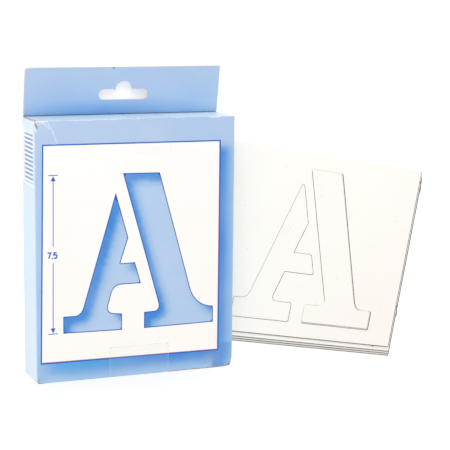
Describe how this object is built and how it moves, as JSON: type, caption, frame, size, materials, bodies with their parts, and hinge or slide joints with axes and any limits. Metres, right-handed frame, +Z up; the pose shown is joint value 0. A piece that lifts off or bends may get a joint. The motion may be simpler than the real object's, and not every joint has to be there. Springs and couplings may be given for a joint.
{
  "type": "lettering stencil set",
  "caption": "Set of die-cut card alphabet stencils: a hang-tab carton of cards lying on its back, with the first cards fanned out under its right side.",
  "frame": {"origin": "on the table, under the middle of the top card of the pile, on the underside of the lowest card", "axes": "+Z up from the table; +Y from the carton's lower end to its hang tab; +X from the carton across to the pile of cards"},
  "size_m": [0.2056, 0.1478, 0.0257],
  "materials": {
    "printed_board": "satin",
    "bare_board": "matte",
    "clear_tape": "gloss",
    "label_paper": "matte",
    "stencil_card": "matte"
  },
  "bodies": {
    "carton": {"front_panel": "printed_board", "back_panel": "printed_board", "left_wall": "printed_board", "right_wall": "printed_board", "seam_flap": "bare_board", "top_dust_flap_left": "bare_board", "top_dust_flap_right": "bare_board", "bottom_dust_flap_left": "bare_board", "bottom_dust_flap_right": "bare_board", "side_label": "label_paper", "top_tape_front": "clear_tape", "bottom_tape_front": "clear_tape"},
    "top_closure": {"top_lid": "printed_board", "top_tongue": "bare_board", "top_tape_lid": "clear_tape"},
    "bottom_closure": {"bottom_flap": "printed_board", "bottom_tongue": "bare_board", "bottom_tape_flap": "clear_tape"},
    "hang_tab": {"hang_tab_rear": "printed_board", "hang_tab_front": "printed_board"},
    "card_pack": {"card_e": "stencil_card", "card_f": "stencil_card", "card_g": "stencil_card", "card_h": "stencil_card", "card_i": "stencil_card", "card_j": "stencil_card", "card_k": "stencil_card", "card_l": "stencil_card", "card_m": "stencil_card", "card_n": "stencil_card", "card_o": "stencil_card", "card_p": "stencil_card", "card_q": "stencil_card", "card_r": "stencil_card", "card_s": "stencil_card", "card_t": "stencil_card", "card_u": "stencil_card", "card_v": "stencil_card", "card_w": "stencil_card", "card_x": "stencil_card", "card_y": "stencil_card", "card_z": "stencil_card"},
    "loose_card_a": {"card_a": "stencil_card"},
    "popped_a_left": {"blank_a_left": "stencil_card"},
    "popped_a_right": {"blank_a_right": "stencil_card"},
    "loose_card_b": {"card_b": "stencil_card", "blank_b_stem": "stencil_card", "blank_b_bowls": "stencil_card"},
    "loose_card_c": {"card_c": "stencil_card", "blank_c_left": "stencil_card", "blank_c_ends": "stencil_card"},
    "loose_card_d": {"card_d": "stencil_card", "blank_d_stem": "stencil_card", "blank_d_bowl": "stencil_card"}
  },
  "joints": [
    {"name": "top_lid_fold", "type": "hinge", "parent": "carton", "child": "top_closure", "pos_m": [-0.09883, 0.06754, 0.02382], "axis": [0.9996, 0, 0.029], "range_deg": [0, 150]},
    {"name": "bottom_flap_fold", "type": "hinge", "parent": "carton", "child": "bottom_closure", "pos_m": [-0.0982, -0.048, 0.00184], "axis": [0.9996, 0, 0.029], "range_deg": [0, 90]},
    {"name": "hang_tab_crease", "type": "hinge", "parent": "carton", "child": "hang_tab", "pos_m": [-0.09818, 0.06754, 0.00134], "axis": [0.9996, 0, 0.029], "range_deg": [-11, 40]},
    {"name": "card_pack_slide", "type": "slide", "parent": "carton", "child": "card_pack", "axis": [0, 1, 0], "range_m": [0, 0.0076]},
    {"name": "card_a_pull", "type": "slide", "parent": "carton", "child": "loose_card_a", "axis": [0.9836, -0.1805, 0], "range_m": [0, 0.08]},
    {"name": "card_b_pull", "type": "slide", "parent": "carton", "child": "loose_card_b", "axis": [0.9836, -0.1805, 0], "range_m": [0, 0.08]},
    {"name": "card_c_pull", "type": "slide", "parent": "carton", "child": "loose_card_c", "axis": [0.9836, -0.1805, 0], "range_m": [0, 0.08]},
    {"name": "card_d_pull", "type": "slide", "parent": "carton", "child": "loose_card_d", "axis": [0.9836, -0.1805, 0], "range_m": [0, 0.08]},
    {"name": "blank_a_left_pop", "type": "slide", "parent": "loose_card_a", "child": "popped_a_left", "axis": [0, 0, 1], "range_m": [0, 0.03]},
    {"name": "blank_a_right_pop", "type": "slide", "parent": "loose_card_a", "child": "popped_a_right", "axis": [0, 0, 1], "range_m": [0, 0.03]}
  ],
  "couplings": [
    {"joint": "top_lid_fold", "follows": "card_pack_slide", "rad_per_m": 344.4}
  ]
}
